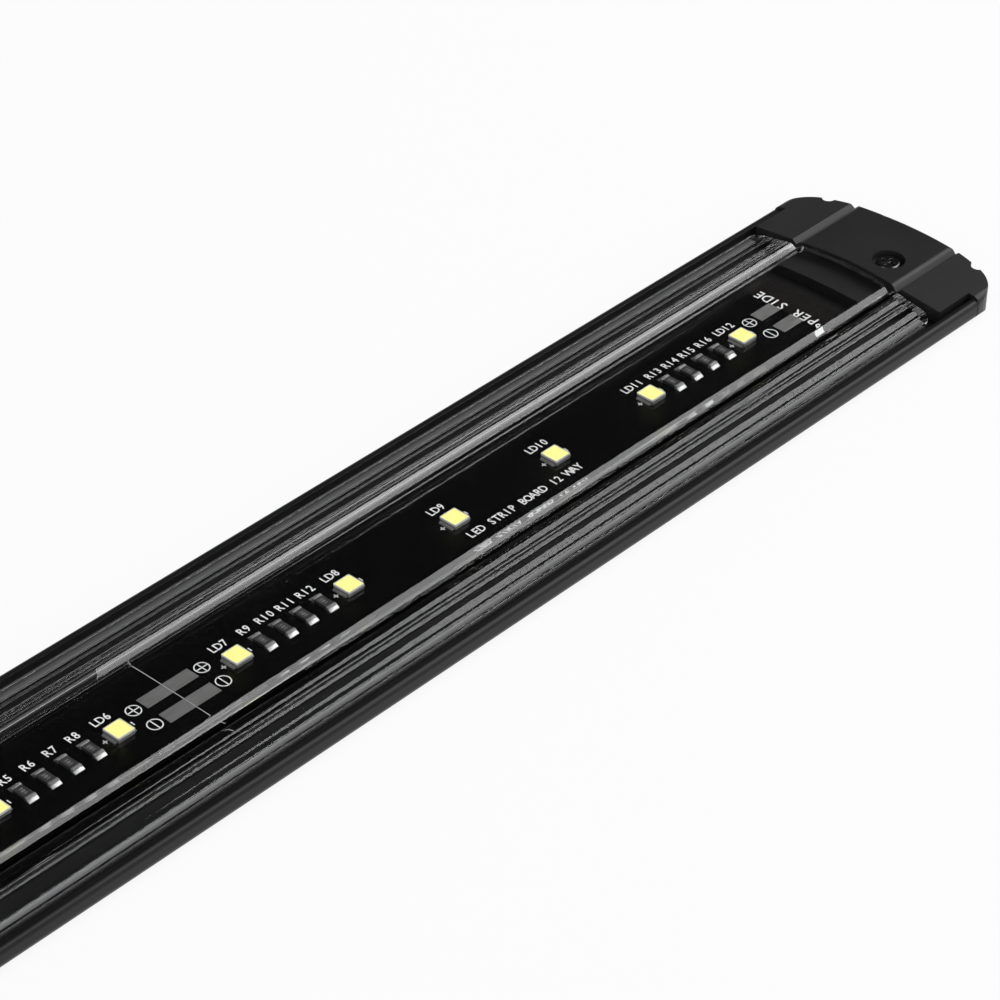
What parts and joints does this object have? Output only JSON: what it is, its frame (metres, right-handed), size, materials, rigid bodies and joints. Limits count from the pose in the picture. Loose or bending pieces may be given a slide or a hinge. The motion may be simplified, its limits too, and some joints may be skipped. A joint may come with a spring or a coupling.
{
  "type": "led light bar",
  "caption": "Slim black LED light bar: a shallow extruded channel with a stepped clear cover over a black strip board of LEDs, closed by screwed moulded end caps.",
  "frame": {"origin": "middle of the flat back face", "axes": "+X along the bar towards the closed end cap, +Y across the bar, +Z out of the lens"},
  "size_m": [0.31, 0.0394, 0.0052],
  "materials": {
    "channel": "satin black coated aluminium extrusion",
    "lens": "clear extruded acrylic, glossy",
    "seal": "translucent grey silicone",
    "board": "black solder mask",
    "tape": "thermal adhesive film",
    "solder": "tinned copper",
    "led_body": "white moulded package",
    "phosphor": "yellow phosphor gel",
    "resistor": "black chip resistor",
    "cap": "fine textured black moulding",
    "insert": "black moulding",
    "screw": "black zinc",
    "gasket": "matt black rubber",
    "lead_red": "wire insulation",
    "lead_black": "wire insulation"
  },
  "bodies": {
    "root": {"housing": "channel", "lens": "lens", "lens_seal_near": "seal", "lens_seal_far": "seal", "led_board": "board", "thermal_tape": "tape", "solder_pads": "solder", "led_1": "led_body", "led_phosphor_1": "phosphor", "led_2": "led_body", "led_phosphor_2": "phosphor", "led_3": "led_body", "led_phosphor_3": "phosphor", "led_4": "led_body", "led_phosphor_4": "phosphor", "led_5": "led_body", "led_phosphor_5": "phosphor", "led_6": "led_body", "led_phosphor_6": "phosphor", "led_7": "led_body", "led_phosphor_7": "phosphor", "led_8": "led_body", "led_phosphor_8": "phosphor", "led_9": "led_body", "led_phosphor_9": "phosphor", "led_10": "led_body", "led_phosphor_10": "phosphor", "led_11": "led_body", "led_phosphor_11": "phosphor", "led_12": "led_body", "led_phosphor_12": "phosphor", "resistor_1": "resistor", "resistor_2": "resistor", "resistor_3": "resistor", "resistor_4": "resistor", "resistor_5": "resistor", "resistor_6": "resistor", "resistor_7": "resistor", "resistor_8": "resistor", "resistor_9": "resistor", "resistor_10": "resistor", "resistor_11": "resistor", "resistor_12": "resistor", "resistor_13": "resistor", "resistor_14": "resistor", "resistor_15": "resistor", "resistor_16": "resistor", "end_cap_right": "cap", "cap_insert_right": "insert", "cap_screw_right": "screw", "cap_gasket_right": "gasket", "end_cap_left": "cap", "cap_insert_left": "insert", "cap_screw_left": "screw", "cap_gasket_left": "gasket", "cable_grommet": "gasket", "lead_positive": "lead_red", "lead_negative": "lead_black", "solder_joints": "solder"}
  },
  "joints": []
}
